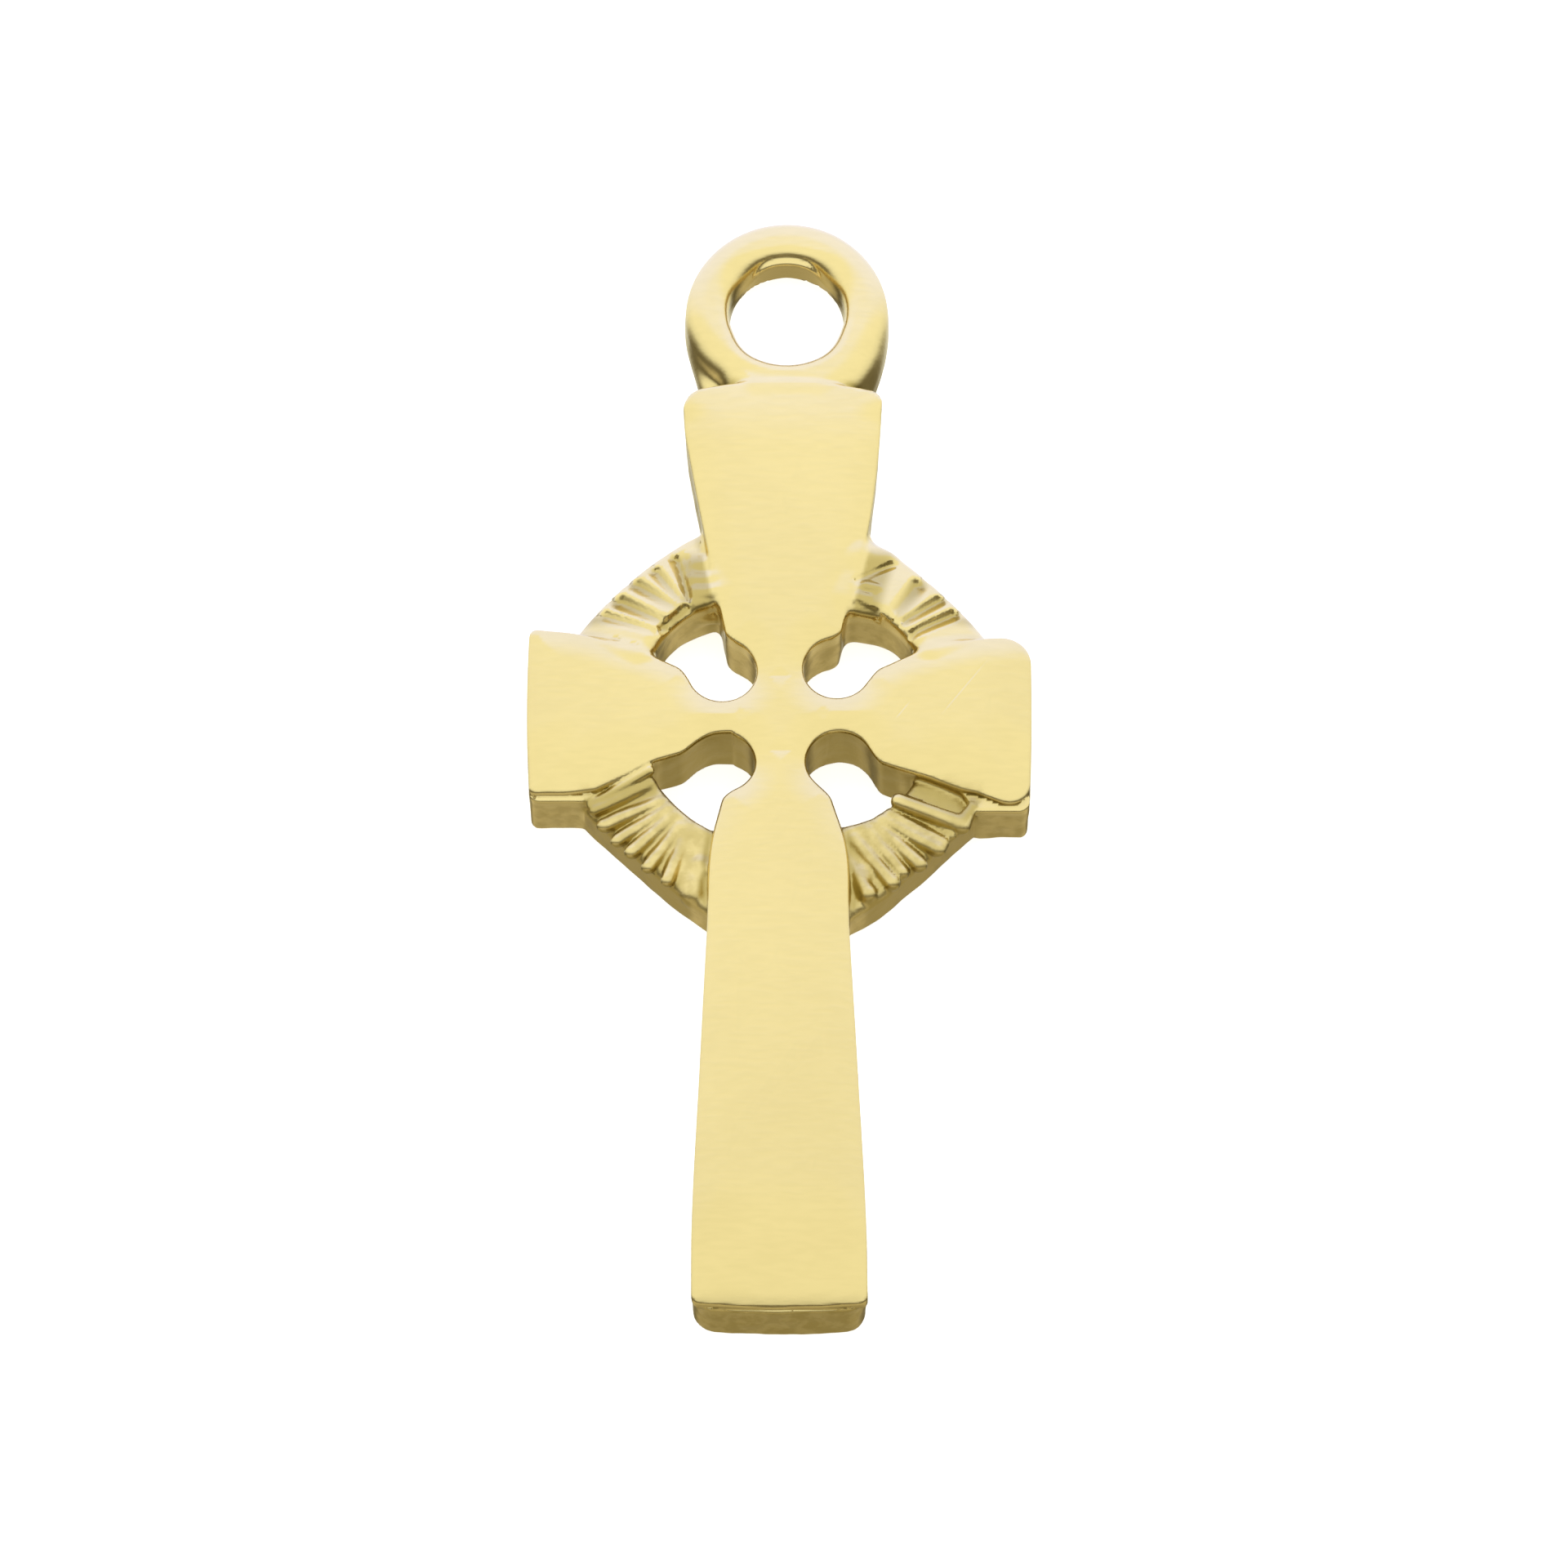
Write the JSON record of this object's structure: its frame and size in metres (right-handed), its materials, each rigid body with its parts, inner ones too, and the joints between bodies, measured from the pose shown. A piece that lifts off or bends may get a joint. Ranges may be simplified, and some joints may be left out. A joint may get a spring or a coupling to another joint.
{
  "type": "celtic cross pendant",
  "caption": "Small cast gold celtic cross pendant, a flared cross with a ribbed ring behind its arms and a drilled loop at its head for a jump ring or chain.",
  "frame": {"origin": "middle of the crossing, on the flat back that the pendant lies on", "axes": "+X across the arms to the viewer's right when the front is seen with the loop at the top, +Y towards the loop, +Z out of the front"},
  "size_m": [0.0091, 0.022, 0.0014],
  "materials": {
    "gold": "polished cast yellow gold"
  },
  "bodies": {
    "root": {"celtic_cross_pendant": "gold"}
  },
  "joints": []
}
